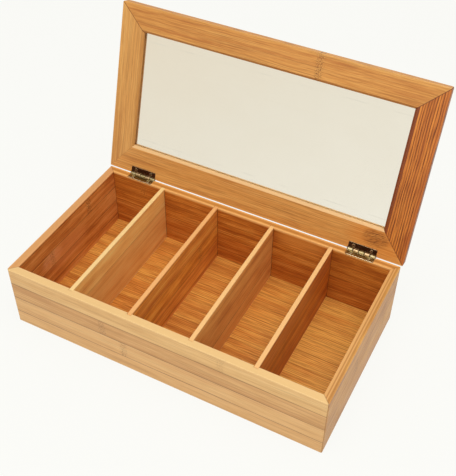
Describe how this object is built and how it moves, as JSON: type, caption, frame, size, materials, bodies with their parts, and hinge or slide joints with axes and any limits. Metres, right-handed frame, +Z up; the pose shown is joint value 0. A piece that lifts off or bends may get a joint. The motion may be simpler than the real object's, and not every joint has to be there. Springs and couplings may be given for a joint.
{
  "type": "tea bag organizer box",
  "caption": "Long low bamboo box with side-by-side compartments, lift-out dividers and a framed clear-window lid on flush hinges.",
  "frame": {"origin": "centre of the case's underside, which stands on the table", "axes": "+X towards the case's right end seen from the front, +Y towards the hinges at the back, +Z up"},
  "size_m": [0.363, 0.2598, 0.2651],
  "materials": {
    "bamboo_front": "pale strip bamboo, clear satin finish",
    "bamboo_case": "strip bamboo, clear satin finish",
    "bamboo_floor": "thin strip bamboo panel, clear satin finish",
    "bamboo_divider": "strip bamboo, clear satin finish",
    "bamboo_lid": "strip bamboo, clear satin finish",
    "window": "clear acrylic, polished",
    "brass": "aged brass, satin",
    "bronze": "dark antique bronze, satin"
  },
  "bodies": {
    "case": {"front_wall": "bamboo_front", "back_wall": "bamboo_case", "left_wall": "bamboo_case", "right_wall": "bamboo_case", "floor_panel": "bamboo_floor", "left_hinge_box_leaf": "brass", "right_hinge_box_leaf": "brass", "left_hinge_pin": "brass", "right_hinge_pin": "brass", "left_box_screws": "brass", "right_box_screws": "brass"},
    "lid": {"lid_front_rail": "bamboo_lid", "lid_back_rail": "bamboo_lid", "lid_left_stile": "bamboo_lid", "lid_right_stile": "bamboo_lid", "lid_window": "window", "left_hinge_lid_leaf": "bronze", "right_hinge_lid_leaf": "bronze", "left_lid_screws": "bronze", "right_lid_screws": "bronze"},
    "divider_1": {"divider_1": "bamboo_divider"},
    "divider_2": {"divider_2": "bamboo_divider"},
    "divider_3": {"divider_3": "bamboo_divider"},
    "divider_4": {"divider_4": "bamboo_divider"}
  },
  "joints": [
    {"name": "lid_hinge", "type": "hinge", "parent": "case", "child": "lid", "pos_m": [0, 0.0978, 0.0792], "axis": [-1, 0, 0], "range_deg": [-106.7, 0]},
    {"name": "divider_1_lift", "type": "slide", "parent": "case", "child": "divider_1", "axis": [0, 0, 1], "range_m": [0, 0.08]},
    {"name": "divider_2_lift", "type": "slide", "parent": "case", "child": "divider_2", "axis": [0, 0, 1], "range_m": [0, 0.08]},
    {"name": "divider_3_lift", "type": "slide", "parent": "case", "child": "divider_3", "axis": [0, 0, 1], "range_m": [0, 0.08]},
    {"name": "divider_4_lift", "type": "slide", "parent": "case", "child": "divider_4", "axis": [0, 0, 1], "range_m": [0, 0.08]}
  ]
}
